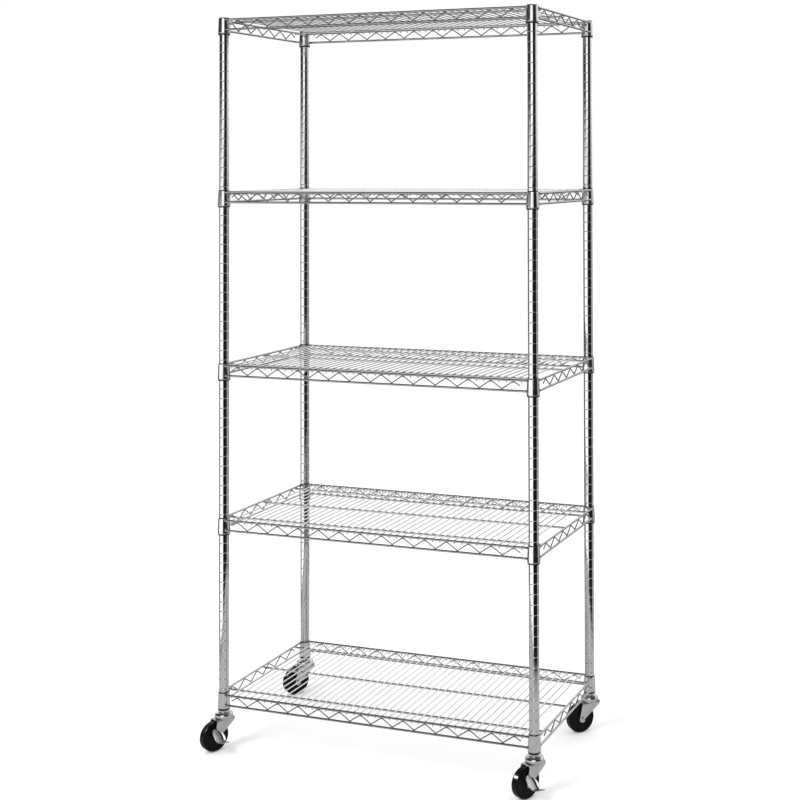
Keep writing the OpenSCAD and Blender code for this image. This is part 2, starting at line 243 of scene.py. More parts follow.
def fillet(points, radii, steps):
    """Replaces each inner corner of a path by an arc of its radius; a corner that hardly turns stays."""
    points = [Vector(p) for p in points]
    path = [points[0]]
    for i in range(1, len(points) - 1):
        back = (points[i - 1] - points[i]).normalized()
        on = (points[i + 1] - points[i]).normalized()
        half = back.angle(on) / 2
        r = radii[i - 1]
        if math.pi / 2 - half < STRAIGHT:
            path.append(points[i])
            continue
        setback = r / math.tan(half)
        centre = points[i] + (back + on).normalized() * (r / math.sin(half))
        first = points[i] + back * setback - centre
        last = points[i] + on * setback - centre
        turn = first.angle(last)
        for s in range(steps + 1):
            t = s / steps
            a = math.sin((1 - t) * turn) / math.sin(turn)
            b = math.sin(t * turn) / math.sin(turn)
            path.append(centre + first * a + last * b)
    path.append(points[-1])
    return path


# ---- Materials --------------------------------------------------------------


class Nodes:
    """A short way to write a node tree; an input is given a value or another node's output."""

    def __init__(self, tree):
        self.tree = tree

    def add(self, kind, inputs=None, **settings):
        node = self.tree.nodes.new(kind)
        for key, value in settings.items():
            setattr(node, key, value)
        for key, value in (inputs or {}).items():
            self.put(node.inputs[key], value)
        return node

    def put(self, socket, value):
        if isinstance(value, bpy.types.NodeSocket):
            self.tree.links.new(value, socket)
        else:
            socket.default_value = value

    def math(self, operation, a, b):
        return self.add("ShaderNodeMath", {0: a, 1: b}, operation=operation).outputs[0]

    def noise(self, vector, scale, detail, roughness=0.55):
        inputs = {"Vector": vector, "Scale": scale, "Detail": detail, "Roughness": roughness}
        return self.add("ShaderNodeTexNoise", inputs).outputs["Fac"]

    def stretch(self, vector, x, y, z):
        return self.add("ShaderNodeMapping", {"Vector": vector, "Scale": (x, y, z)}).outputs[0]

    def map_range(self, value, low, high, to_low, to_high):
        inputs = {"Value": value, "From Min": low, "From Max": high, "To Min": to_low, "To Max": to_high}
        return self.add("ShaderNodeMapRange", inputs).outputs[0]

    def mix(self, factor, a, b):
        node = self.add("ShaderNodeMix", data_type="RGBA")
        self.put(node.inputs[0], factor)
        self.put(node.inputs[6], a)
        self.put(node.inputs[7], b)
        return node.outputs[2]

    def bump(self, height, strength, distance):
        inputs = {"Height": height, "Strength": strength, "Distance": distance}
        return self.add("ShaderNodeBump", inputs).outputs[0]


def new_material(name):
    """A new material with its nodes helper, its shader and the object's own coordinates."""
    material = bpy.data.materials.new(name)
    material.use_nodes = True
    n = Nodes(material.node_tree)
    shader = material.node_tree.nodes["Principled BSDF"]
    place = n.add("ShaderNodeTexCoord").outputs["Object"]
    return material, n, shader, place


GRAIN_DEPTH = 0.0002  # metres


def grey(value, warm=0.0):
    """A grey, with a little more red and less blue where warm is given."""
    return (value + warm, value, value - warm, 1.0)


def plated(name, light, dark, rough, brushed, drawn=(1, 1, 1), bump=0.05):
    """Plated steel: bright metal with faint drawing lines, cloudy roughness and a few dull spots."""
    material, n, shader, place = new_material(name)
    clouds = n.noise(place, 38.0, 4.0)
    lines = n.noise(n.stretch(place, *drawn), 900.0, 2.0)
    spots = n.map_range(n.noise(place, 160.0, 5.0, 0.7), 0.60, 0.78, 0.0, 1.0)
    tone = n.mix(n.map_range(clouds, 0.35, 0.7, 0.0, 1.0), grey(light), grey(dark))
    tone = n.mix(n.math("MULTIPLY", spots, 0.35), tone, grey(dark * 0.72))
    rough_clouds = n.map_range(clouds, 0.3, 0.7, rough, rough + brushed)
    rough_all = n.math("ADD", rough_clouds, n.math("MULTIPLY", spots, 0.12))
    n.put(shader.inputs["Base Color"], tone)
    n.put(shader.inputs["Metallic"], 1.0)
    n.put(shader.inputs["Roughness"], rough_all)
    n.put(shader.inputs["Normal"], n.bump(lines, bump, GRAIN_DEPTH))
    return material


def moulded(name, tone, rough, grain, shine):
    """Moulded plastic: dark body colour, fine grain, and scuffs that catch the light."""
    material, n, shader, place = new_material(name)
    clouds = n.noise(place, 60.0, 4.0)
    fine = n.noise(place, 1400.0, 2.0)
    scuffs = n.map_range(n.noise(n.stretch(place, 1.0, 1.0, 4.0), 210.0, 5.0, 0.7), 0.62, 0.75, 0.0, 1.0)
    colour = n.mix(clouds, grey(tone), grey(tone * 1.8, 0.001))
    colour = n.mix(n.math("MULTIPLY", scuffs, 0.25), colour, grey(tone + 0.02))
    n.put(shader.inputs["Base Color"], colour)
    rough_clouds = n.map_range(clouds, 0.3, 0.7, rough, rough + 0.08)
    n.put(shader.inputs["Roughness"], n.math("ADD", rough_clouds, n.math("MULTIPLY", scuffs, 0.15)))
    n.put(shader.inputs["Specular IOR Level"], shine)
    n.put(shader.inputs["Normal"], n.bump(fine, grain, GRAIN_DEPTH))
    return material


# Chromed steel, all one finish: the deck wires shine most; the rods and zigzags round them are given darker
# colours as painted shade, for the darker reflections they show
post_chrome = plated("post_chrome", 0.86, 0.78, 0.05, 0.07, drawn=(1, 1, 0.03))
wire_chrome = plated("wire_chrome", 0.88, 0.80, 0.07, 0.08)
# painted shade: the rods and zigzag wires are the same chrome as the deck wires, darkened
rod_chrome_painted_shade = plated("rod_chrome_painted_shade", 0.60, 0.52, 0.07, 0.08)
truss_chrome_painted_shade = plated("truss_chrome_painted_shade", 0.42, 0.34, 0.09, 0.08)
collar_chrome = plated("collar_chrome", 0.84, 0.74, 0.10, 0.10)
zinc_plate = plated("zinc_plate", 0.82, 0.72, 0.12, 0.10)
fork_zinc = plated("fork_zinc", 0.78, 0.70, 0.26, 0.14, bump=0.12)
lever_zinc = plated("lever_zinc", 0.80, 0.68, 0.16, 0.12, bump=0.10)
bolt_steel = plated("bolt_steel", 0.70, 0.60, 0.20, 0.12)
ball_steel = plated("ball_steel", 0.74, 0.68, 0.06, 0.05)
wheel_black = moulded("wheel_plastic", 0.002, 0.14, 0.05, shine=0.14)
sleeve_black = moulded("sleeve_plastic", 0.006, 0.34, 0.20, shine=0.2)
cap_black = moulded("cap_plastic", 0.012, 0.26, 0.15, shine=0.4)

# ---- Posts ------------------------------------------------------------------


def groove_heights():
    """Heights of the groove centres, from one below the bottom shelf's groove up to the post top."""
    z = shelf_z[1] - GROOVE_DROP - GROOVE_PITCH
    while z < post_high - GROOVE_W:
        yield z
        z += GROOVE_PITCH


def post_outline():
    """Wall of the tube as (radius, height), with soft grooves and eased ends."""
    edge = 0.6
    outline = [(POST_BORE_R, post_low), (POST_R - edge, post_low), (POST_R, post_low + edge)]
    for z in groove_heights():
        for step in range(-3, 4):
            depth = 0.5 * (1 + math.cos(math.pi * step / 3))
            outline.append((POST_R - GROOVE_DEPTH * depth, z + step * GROOVE_W / 6))
    outline += [(POST_R, post_high - edge), (POST_R - edge, post_high), (POST_BORE_R, post_high)]
    return outline


def at_corner(corner, z=0.0):
    """Moves points from the foot of a corner's post axis to their place."""
    x, y = post_axis[corner]
    return lambda p: Vector((p.x + x, p.y + y, p.z + z))


def build_posts():
    outline = post_outline()
    for c in CORNERS:
        b = Builder()
        b.lathe(outline, at_corner(c), segments=72)
        b.piece(f"post_{c}_tube", post_chrome, "posts", "post_chrome", f"post_{c}")


def build_caps():
    """Domed plugs: a rolled edge over the tube and a plain shank inside it."""
    dome_h = box_mm("post_caps")[1].z - post_high
    shank = 12.0
    shank_r = POST_BORE_R - SHANK_FIT
    outline = [(NEAR_AXIS, -shank), (POST_BORE_R - 1.2, -shank), (shank_r, -shank + 1.5)]
    outline += [(shank_r, 0.05), (POST_R - 0.5, 0.05)]
    outline += arc(POST_R - 1.1, 0.65, 0.6, -60, 40, 4)
    for degrees in range(30, 90, 10):
        a = math.radians(degrees)
        outline.append((POST_R * math.cos(a), dome_h * math.sin(a)))
    outline += [(NEAR_AXIS, dome_h)]
    b = Builder()
    for c in CORNERS:
        b.lathe(outline, at_corner(c, post_high), segments=48)
    b.piece("post_cap_plugs", cap_black, "posts", "cap_plastic", "post_caps")


def build_sockets():
    """Pressed sockets: the flange shows under the post, the shank and thread are inside."""
    flange_h = post_low - CAP_TOP
    flange_r, edge = 15.0, 0.6
    shank_r, shank_top = POST_BORE_R - SHANK_FIT, 32.0
    bore_r = 4.85
    outline = [(bore_r, 0.0), (flange_r - edge, 0.0), (flange_r, edge), (flange_r, flange_h - edge)]
    outline += [(flange_r - edge, flange_h), (shank_r, flange_h), (shank_r, shank_top - 2)]
    outline += [(POST_BORE_R - 1.5, shank_top), (bore_r, shank_top)]
    b = Builder()
    for c in CORNERS:
        b.lathe(outline, at_corner(c, CAP_TOP), segments=56)
    b.piece("stem_socket_plugs", zinc_plate, "posts", "zinc_plate", "stem_sockets")


def sleeve_outline():
    """Section of a sleeve as (radius, height): tapered outside, straight inside, with a flared lower lip."""
    low, high = COLLAR_BOTTOM - SLEEVE_UNDER, COLLAR_RISE + SLEEVE_OVER
    fit = 0.06
    bore = POST_R + fit
    seat = COLLAR_IN_BOTTOM_R - fit
    lip = COLLAR_IN_BOTTOM_R + 0.7
    lip_top = COLLAR_BOTTOM - 0.3
    outline = [(bore, low + 0.3), (bore + 0.3, low), (lip - 0.5, low), (lip, low + 0.5)]
    outline += [(lip, lip_top - 0.4), (lip - 0.4, lip_top), (seat, lip_top), (seat, COLLAR_BOTTOM)]
    outline += [(COLLAR_IN_TOP_R - 2 * fit, high - 0.5), (COLLAR_IN_TOP_R - 0.5, high), (bore, high)]
    return outline


def build_sleeves():
    """Split tapered sleeves between posts and collars: two half shells at each corner of each shelf."""
    outline = sleeve_outline()
    gap = math.radians(1.2)
    segments = 28
    for k in SHELVES:
        b = Builder()
        for c in CORNERS:
            place = at_corner(c, shelf_z[k])
            b.arc_lathe(outline, place, gap, math.pi - gap, segments)
            b.arc_lathe(outline, place, math.pi + gap, TAU - gap, segments)
        b.piece(f"level_{k}_sleeve_halves", sleeve_black, "posts", "sleeve_plastic", f"level_{k}_sleeves")


# ---- Shelves ----------------------------------------------------------------


def collar_reach(level):
    """Distance from the post axis at which a rod at this level ends, just inside the collar's wall."""
    fall = (COLLAR_RISE - level) / COLLAR_H
    inner = COLLAR_IN_TOP_R + fall * (COLLAR_BOTTOM_R - COLLAR_TOP_R)
    into_wall = 0.35
    nearest = ROD_OFFSET - ROD_R
    return math.sqrt((inner + into_wall) ** 2 - nearest ** 2)


def rod(b, start, end, weld=1.16):
    """A straight rod whose ends swell a little into weld beads."""
    start, end = Vector(start), Vector(end)
    length = (end - start).length
    marks = [0.0, 2.2, 4.0, 6.0, 9.0]
    swell = [weld, weld + 0.03, weld - 0.05, 1.04, 1.0]
    path, radii = [], []
    for mark, s in zip(marks, swell):
        path.append(start + (end - start) * (mark / length))
        radii.append(ROD_R * s)
    for mark, s in zip(reversed(marks), reversed(swell)):
        path.append(end + (start - end) * (mark / length))
        radii.append(ROD_R * s)
    b.sweep(path, radii, sides=20)


def build_rods(k):
    """Upper and lower rods on all four sides, each ending in the walls of two collars."""
    b = Builder()
    z = shelf_z[k]
    for level in (0.0, -ROD_GAP):
        reach = collar_reach(level)
        for s in (-1, 1):
            end_x = half_x - reach
            end_y = half_y - reach
            rod(b, (-end_x, s * front_y, z + level), (end_x, s * front_y, z + level))
            rod(b, (s * side_x, -end_y, z + level), (s * side_x, end_y, z + level))
    b.piece(f"shelf_{k}_rod_wires", rod_chrome_painted_shade, f"shelf_{k}", "wire_chrome", f"shelf_{k}_rods")


TRUSS_TAIL = 0.29  # how much of a pitch the wire runs on beyond its first and last upper bend
PEAK_BEND, VALLEY_BEND = 9.0, 3.2  # radii of the upper and lower bends


def zigzag(span, first_peak, pitch, peaks):
    """Filleted zigzag in a plane, as (along, height) points."""
    top = -(ROD_R + TRUSS_R - WELD_SINK)
    bottom = -ROD_GAP - top
    slope = math.atan2(top - bottom, pitch / 2)
    lift = 1 / math.cos(slope) - 1
    peak_z = top + PEAK_BEND * lift
    valley_z = bottom - VALLEY_BEND * lift
    first = -span / 2 + first_peak
    tail = pitch * TRUSS_TAIL
    tail_z = peak_z - tail * math.tan(slope)
    points = [Vector((first - tail, 0, tail_z))]
    radii = []
    for n in range(2 * peaks - 1):
        is_peak = n % 2 == 0
        points.append(Vector((first + n * pitch / 2, 0, peak_z if is_peak else valley_z)))
        radii.append(PEAK_BEND if is_peak else VALLEY_BEND)
    points.append(Vector((-first + tail, 0, tail_z)))
    return fillet(points, radii, steps=6)


def truss_peaks():
    """Number of upper bends in the zigzag along a shelf."""
    return round((2 * half_x - TRUSS_MARGIN) / TRUSS_PITCH) + 1


def build_truss(k):
    """Four zigzag wires between the upper and lower rods."""
    peaks = truss_peaks()
    first_x = (2 * half_x - (peaks - 1) * TRUSS_PITCH) / 2
    pitch_y = (2 * half_y - 2 * SIDE_FIRST_PEAK) / (SIDE_PEAKS - 1)
    along_x = zigzag(2 * half_x, first_x, TRUSS_PITCH, peaks)
    along_y = zigzag(2 * half_y, SIDE_FIRST_PEAK, pitch_y, SIDE_PEAKS)
    b = Builder()
    z = shelf_z[k]
    for s in (-1, 1):
        b.sweep([(p.x, s * front_y, z + p.z) for p in along_x], TRUSS_R, sides=12)
        b.sweep([(s * side_x, p.x, z + p.z) for p in along_y], TRUSS_R, sides=12)
    b.piece(f"shelf_{k}_zigzag_wires", truss_chrome_painted_shade, f"shelf_{k}", "wire_chrome", f"shelf_{k}_truss")


DECK_TAIL = 7.5  # from the upper rods down to the ends of the deck wires
DECK_BEND = 3.4


def deck_wire(b, x, z):
    """One deck wire: it lies level with the rod tops, bends down inside both rods and ends below them."""
    lie = z + ROD_R - DECK_R
    tail = z - DECK_TAIL
    end_y = front_y - ROD_R - DECK_R + WELD_SINK
    lean = rng.uniform(-0.5, 0.5)
    droop = rng.uniform(-0.15, 0.1)
    points = [Vector((x + lean, -end_y, tail)), Vector((x + lean, -end_y, lie)), Vector((x, 0, lie + droop))]
    points += [Vector((x - lean, end_y, lie)), Vector((x - lean, end_y, tail))]
    path = fillet(points, [DECK_BEND, 0.0, DECK_BEND], steps=4)
    b.sweep(path, DECK_R, sides=12)


def build_deck(k):
    """Deck wires from front to back over three stiffeners."""
    pitch = TRUSS_PITCH / DECKS_PER_TRUSS
    count = truss_peaks() * DECKS_PER_TRUSS
    b = Builder()
    z = shelf_z[k]
    for n in range(count):
        deck_wire(b, (n - (count - 1) / 2) * pitch, z)
    lie = z + ROD_R - 2 * DECK_R - ROD_R + WELD_SINK
    end_x = side_x - ROD_R + 0.6
    inset_y = half_y - STIFFENER_INSET
    for y in (-inset_y, 0, inset_y):
        rod(b, (-end_x, y, lie), (end_x, y, lie), weld=1.06)
    b.piece(f"shelf_{k}_deck_wires", wire_chrome, f"shelf_{k}", "wire_chrome", f"shelf_{k}_deck")


def build_collars(k):
    """Tapered collars with a rounded lower edge and a rolled rim."""
    hem, rim = 2.6, 0.8
    outline = [(COLLAR_IN_TOP_R, COLLAR_RISE), (COLLAR_IN_BOTTOM_R, COLLAR_BOTTOM)]
    outline += arc(COLLAR_BOTTOM_R - hem, COLLAR_BOTTOM + hem, hem, -90, 0, 7)
    outline += arc(COLLAR_TOP_R - rim, COLLAR_RISE - rim, rim, 0, 90, 4)
    b = Builder()
    for c in CORNERS:
        b.lathe(outline, at_corner(c, shelf_z[k]), segments=72)
    b.piece(f"shelf_{k}_collar_rings", collar_chrome, f"shelf_{k}", "collar_chrome", f"shelf_{k}_collars")


# ---- Casters ----------------------------------------------------------------


def caster_place(corner):
    """Moves points from the caster's own frame (+X trails, +Y faces outward) to the rack's frame."""
    ux, uy = trail_dir[corner]
    cx, cy = post_axis[corner]
    return lambda p: Vector((cx + ux * p.x - uy * p.y, cy + uy * p.x + ux * p.y, p.z))


def along_axle(place, reverse=False):
    """Turns a lathe's Z into the wheel axis, starting at the wheel's middle plane."""
    s = -1 if reverse else 1
    return lambda p: place(Vector((TRAIL + s * p.x, s * p.z, wheel_r + p.y)))


def build_stem(c):
    """Domed upper race under the post, with the kingpin's riveted head below the crown."""
    crown_under = CROWN_TOP - FORK_T
    head_r, pin_r, stem_r = 8.6, 6.0, 4.7
    hollow_r, hollow_top = 21.3, 84.7
    dome_low = 81.4
    outline = [(NEAR_AXIS, crown_under - 2.8), (6.5, crown_under - 2.6), (head_r, crown_under - 1.2)]
    outline += [(head_r, crown_under - 0.2), (pin_r, crown_under - 0.2), (pin_r, hollow_top)]
    outline += [(hollow_r, hollow_top), (hollow_r, dome_low), (22.9, dome_low), (23.5, dome_low + 0.6)]
    for degrees in range(0, 91, 9):
        a = math.radians(degrees)
        outline.append((16 + 7.5 * math.cos(a), 86 + 8 * math.sin(a)))
    outline += [(14.6, 94.4), (13.6, 95.4), (12.4, CAP_TOP - 0.1), (stem_r, CAP_TOP - 0.1)]
    outline += [(stem_r, 119.0), (NEAR_AXIS, 120.0)]
    b = Builder()
    b.lathe(outline, caster_place(c), segments=72)
    b.piece(f"caster_{c}_race_and_stem", zinc_plate, "posts", "zinc_plate", f"caster_{c}_stem")


def leg_span(z):
    """Front and back edge of the fork's side plate at height z."""
    end_r = 9.0
    crown_back, crown_front = -22.5, 31.5
    shoulder = CROWN_TOP - 9.0
    drop = (shoulder - z) / (shoulder - wheel_r)
    back = crown_back + drop * (TRAIL - 0.80 * end_r - crown_back)
    front = crown_front + drop * (TRAIL + end_r - crown_front)
    if z > shoulder:
        lift = (z - shoulder) / (CROWN_TOP - shoulder)
        back = crown_back
        front = crown_front - 2.5 * lift
    if z < wheel_r + 2.0:
        reach = math.sqrt(max(end_r ** 2 - (z - wheel_r) ** 2, 0.0))
        front = TRAIL + reach
        back = max(back, TRAIL - reach) if z > wheel_r - 5.0 else TRAIL - reach
    return back, front


def fork_rows():
    """Rows across the fork sheet: (y, z, back, front) from one leg's end over the crown to the other's."""
    bend = 3.5
    mid = LEG_IN_Y + FORK_T / 2
    top = CROWN_TOP - FORK_T / 2
    heights = [wheel_r + z for z in (-8.95, -8.6, -7.8, -6.5, -5, -3, -1, 1, 3)]
    steps = 12
    heights += [wheel_r + 3 + (top - bend - wheel_r - 3) * i / steps for i in range(1, steps + 1)]
    rows = [(-mid, z) + leg_span(z) for z in heights]
    for y, z in arc(-mid + bend, top - bend, bend, 165, 90, 5):
        rows.append((y, z) + leg_span(z))
    crossing = [(-mid + bend) * (1 - i / 4) for i in range(1, 4)]
    crown = [(y, top) + leg_span(CROWN_TOP) for y in crossing]
    rows += crown + [(0.0, top) + leg_span(CROWN_TOP)]
    mirrored = [(-y, z, a, d) for y, z, a, d in rows[:-1]]
    return rows + mirrored[::-1]


def thicken(obj, thickness, bevel):
    """Gives a sheet its thickness and eased edges."""
    obj.modifiers.clear()
    solid = obj.modifiers.new("thickness", "SOLIDIFY")
    solid.thickness = thickness * MM
    solid.offset = 0.0
    solid.use_even_offset = True
    ease_edges(obj, bevel)


def ease_edges(obj, width):
    """Small bevels on all edges that bend sharply."""
    ease = obj.modifiers.new("edges", "BEVEL")
    ease.width = width * MM
    ease.segments = 2
    ease.limit_method = "ANGLE"
    ease.angle_limit = math.radians(50)
    flatten_normals(obj)


def build_fork(c):
    """The bent fork sheet and the lower ball race pressed into its crown."""
    place = caster_place(c)
    body = f"caster_{c}_swivel"
    columns = 10
    b = Builder()
    b.grid([[place(Vector((back + (front - back) * (i / columns), y, z))) for i in range(columns + 1)]
            for y, z, back, front in fork_rows()])
    plate = b.piece(f"caster_{c}_fork_sheet", fork_zinc, body, "fork_zinc", f"caster_{c}_fork")
    thicken(plate, FORK_T, 0.7)
    hole_r, race_r, rise = 6.2, 21.8, 0.05
    race = [(hole_r, CROWN_TOP - 2.2), (race_r - 0.8, CROWN_TOP - 2.2), (race_r, CROWN_TOP - 1.4)]
    race += [(race_r, CROWN_TOP - 0.4), (race_r - 0.6, CROWN_TOP + rise), (hole_r, CROWN_TOP + rise)]
    b = Builder()
    b.lathe(race, place, segments=64)
    b.piece(f"caster_{c}_lower_race", zinc_plate, body, "zinc_plate")


def build_wheel(c):
    """Solid wheel: rounded tread, a shallow dish in each side and a raised hub."""
    half_w = 12.5
    shoulder = 5.2
    hub = [(6.1, half_w), (11.6, half_w), (12.6, half_w - 0.6), (13.4, half_w - 2.0)]
    side = hub + [(15.0, half_w - 2.6), (24.0, half_w - 2.3), (28.5, half_w - 1.4), (30.5, half_w - 1.2)]
    tread = arc(wheel_r - shoulder, half_w - 6.0, shoulder, 84, 0, 9)
    upper = side + tread
    outline = upper + [(r, -z) for r, z in reversed(upper)]
    b = Builder()
    b.lathe(outline, along_axle(caster_place(c)), segments=96)
    body = f"caster_{c}_rolling_wheel"
    return b.piece(f"caster_{c}_wheel_body", wheel_black, body, "wheel_plastic", f"caster_{c}_wheel")


def hex_rings(flat, height, chamfer, segments):
    """Rings of a chamfered hexagon, bottom to top, around Z; flat is half its width across flats."""
    def ring(limit, z):
        points = []
        for s in range(segments):
            a = TAU * s / segments
            edge = flat / math.cos((a % (TAU / 6)) - TAU / 12)
            r = min(edge, limit)
            points.append(Vector((r * math.cos(a), r * math.sin(a), z)))
        return points
    across = flat / math.cos(TAU / 12)
    end = flat * 0.98
    return [ring(end, 0), ring(across, chamfer), ring(across, height - chamfer), ring(end, height)]


def build_nut(c):
    """Hexagonal nut on the inner leg, with the end of the bolt standing out of it."""
    place = along_axle(caster_place(c), reverse=True)
    b = Builder()
    base = LEG_OUT_Y + 0.02
    hexagon = hex_rings(flat=6.5, height=6.0, chamfer=1.1, segments=72)
    b.shell([[place(p + Vector((0, 0, base))) for p in ring] for ring in hexagon])
    thread = [(NEAR_AXIS, 0.5), (3.9, 0.5), (3.9, 7.4), (3.4, 7.9), (NEAR_AXIS, 7.9)]
    b.lathe([(r, z + base) for r, z in thread], place, segments=32)
    b.piece(f"caster_{c}_axle_nut", bolt_steel, f"caster_{c}_swivel", "bolt_steel")


def build_axle(c):
    """Wheel bolt: a low round head on the rear casters, a longer end for the brake pin on the front ones."""
    leg = LEG_OUT_Y
    outline = [(NEAR_AXIS, -leg), (SHAFT_R, -leg), (SHAFT_R, leg)]
    if c.startswith("rear"):
        head_r = 5.6
        outline += [(head_r, leg + 0.02), (head_r, leg + 1.6)]
        outline += arc(4.0, leg + 1.8, 1.6, 0, 90, 4)
        outline += [(2.6, leg + 3.4), (2.2, leg + 2.7), (NEAR_AXIS, leg + 2.6)]
        segments = 56
    else:
        shoulder_r = 6.2
        end = PIN_Y + 3.9
        outline += [(shoulder_r, leg + 0.02), (shoulder_r, leg + 1.2), (SHAFT_R, leg + 1.6)]
        outline += [(SHAFT_R, end - 0.8), (3.2, end), (NEAR_AXIS, end)]
        segments = 48
    b = Builder()
    b.lathe(outline, along_axle(caster_place(c)), segments)
    b.piece(f"caster_{c}_wheel_bolt", bolt_steel, f"caster_{c}_swivel", "bolt_steel", f"caster_{c}_axle")


def build_brake_pin(c):
    """Pin on which the brake lever turns, across the end of the wheel bolt."""
    base = caster_place(c)

    def place(p):
        return base(Vector((TRAIL + p.z, PIN_Y + p.x, wheel_r + p.y)))

    r, half = 1.48, 7.5
    outline = [(NEAR_AXIS, -half), (1.1, -half), (r, -7.1), (r, 7.1), (1.1, half), (NEAR_AXIS, half)]
    b = Builder()
    b.lathe(outline, place, segments=32)
    body = f"caster_{c}_swivel"
    b.piece(f"caster_{c}_brake_cross_pin", bolt_steel, body, "bolt_steel", f"caster_{c}_brake_pin")


def smooth_path(points, steps):
    """Catmull-Rom curve through points of equal dimension."""
    path = []
    count = len(points)
    for i in range(count - 1):
        p0, p1 = points[max(i - 1, 0)], points[i]
        p2, p3 = points[i + 1], points[min(i + 2, count - 1)]
        for s in range(steps):
            t = s / steps
            path.append(tuple(
                0.5 * ((2 * b) + (c - a) * t + (2 * a - 5 * b + 4 * c - d) * t * t
                       + (3 * b - a - 3 * c + d) * t ** 3)
                for a, b, c, d in zip(p0, p1, p2, p3)))
    path.append(tuple(points[-1]))
    return path


def lever_rows():
    """Rows along the lever: outward distance, height, shift towards the trail, half width and rim height."""
    dish = [
        (LEG_OUT_Y + 1.4, 62.0, 9.0, 4.0, 0.3),
        (LEG_OUT_Y + 2.4, 60.0, 8.4, 8.0, 2.0),
        (LEG_OUT_Y + 4.3, 54.5, 6.6, 11.6, 3.4),
        (PIN_Y + 3.4, 47.0, 4.4, 13.8, 4.6),
        (PIN_Y + 8.0, 39.5, 2.8, 14.2, 5.0),
        (PIN_Y + 12.0, 33.0, 1.8, 12.8, 4.4),
    ]
    pedal = [
        (PIN_Y + 16.0, 30.0, 0.6, 9.8, 2.6),
        (PIN_Y + 21.0, 30.6, 0.0, 7.4, 1.0),
        (PIN_Y + 31.0, 34.2, 0.0, 6.8, 0.4),
        (PIN_Y + 42.0, 38.6, 0.0, 5.4, 0.3),
        (PIN_Y + 44.0, 39.4, 0.0, 3.2, 0.2),
    ]
    return smooth_path(dish + pedal, 5)


def build_lever(c):
    """Stamped brake lever: a dished plate over the bolt end with turned-up rims, a pedal and two cheeks."""
    place = caster_place(c)
    body = f"caster_{c}_brake"
    rows = lever_rows()
    columns = 14
    points = []
    for i, (y, z, shift, half, rim) in enumerate(rows):
        ahead = rows[min(i + 1, len(rows) - 1)]
        behind = rows[max(i - 1, 0)]
        along = Vector((ahead[0] - behind[0], ahead[1] - behind[1])).normalized()
        outward = Vector((-along.y, along.x))
        row = []
        for j in range(columns + 1):
            t = 2 * j / columns - 1
            lift = rim * abs(t) ** 4
            row.append(place(Vector((TRAIL + shift + half * t, y + outward.x * lift, z + outward.y * lift))))
        points.append(row)
    b = Builder()
    b.grid(points)
    plate = b.piece(f"caster_{c}_brake_plate", lever_zinc, body, "lever_zinc", f"caster_{c}_brake_lever")
    thicken(plate, 1.7, 0.4)
    build_cheeks(c, place, body)


def build_cheeks(c, place, body):
    """The lever's two cheeks, either side of the bolt end."""
    cheek_in, cheek_out = 4.3, 6.2
    outline = arc(PIN_Y, wheel_r, 5.2, 110, 280, 10)
    outline += [(PIN_Y + 9.5, 32.4), (PIN_Y + 8.6, 36.5), (PIN_Y + 6.8, 40.0), (PIN_Y + 3.0, 45.5)]
    b = Builder()
    for side in (-1, 1):
        faces = (side * cheek_in, side * cheek_out)
        b.shell([[place(Vector((TRAIL + x, y, z))) for y, z in outline] for x in faces])
    cheeks = b.piece(f"caster_{c}_brake_cheeks", lever_zinc, body, "lever_zinc")
    cheeks.modifiers.clear()
    ease_edges(cheeks, 0.35)


def dress_inner_parts(c):
    """Bushes and balls are nearly hidden: the CAD shapes stay and take their finish here."""
    for part, material in (("bush", bolt_steel), ("balls", ball_steel)):
        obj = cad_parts[f"caster_{c}_{part}"]
        obj.data.materials.clear()
        obj.data.materials.append(material)
        obj.data.polygons.foreach_set("use_smooth", [True] * len(obj.data.polygons))


# ---- Stage ------------------------------------------------------------------

CAMERA_AT = (1684.8, -3458.0, 1531.1)
CAMERA_YAW, CAMERA_PITCH, CAMERA_ROLL = 19.10, 0.90, 0.21  # degrees
SENSOR, LENS = 36.0, 63.83
LENS_SHIFT = (-0.2244, -0.3218)  # in widths of the picture; the lens looks past the rack, nearly level

# The floor as reflections see it: a grey sheet within this reach of the middle, in metres
SHEET_REACH, SHEET_BRIGHTNESS = 1.35, 0.5

# Panels round the rack as reflections see them: (degrees to the right of the camera, brightness)
PANELS_LOW = [(-180, 0.12), (-130, 0.15), (-99, 0.12), (-93, 1.3), (-20, 1.3), (-14, 0.01)]
PANELS_LOW += [(72, 0.01), (78, 0.35), (108, 0.45), (130, 0.12), (180, 0.12)]
PANELS_HIGH = [(-180, 0.95), (-140, 0.95), (-125, 0.05), (-41, 0.02), (-35, 1.3), (4, 1.3), (10, 0.01)]
PANELS_HIGH += [(66, 0.01), (76, 0.45), (101, 0.9), (180, 0.95)]
ZENITH, NADIR = 0.06, 0.12


def build_camera():
    """Camera with a shifted lens, to the front right of the rack and three quarters of its height up."""
    data = bpy.data.cameras.new("camera")
    camera = bpy.data.objects.new("camera", data)
    bpy.context.scene.collection.objects.link(camera)
    bpy.context.scene.camera = camera
    data.sensor_width = SENSOR
    data.lens = LENS
    camera.location = Vector(CAMERA_AT) * MM
    camera.rotation_mode = "XYZ"
    camera.rotation_euler = (
        math.radians(90 + CAMERA_PITCH),
        math.radians(CAMERA_ROLL),
        math.radians(CAMERA_YAW),
    )
    for name, value in zip(("shift_x", "shift_y"), LENS_SHIFT):
        keep_shift_at_home(camera, name, value)


def keep_shift_at_home(camera, name, value):
    """The lens shift belongs to this one place of the camera: it is zero wherever else the camera is put."""
    curve = camera.data.driver_add(name)
    curve.driver.type = "SCRIPTED"
    variable = curve.driver.variables.new()
    variable.name = "x"
    variable.type = "TRANSFORMS"
    variable.targets[0].id = camera
    variable.targets[0].transform_type = "LOC_X"
    home = camera.location.x
    curve.driver.expression = f"{value:.6f} if abs(x - {home:.6f}) < 0.001 else 0.0"


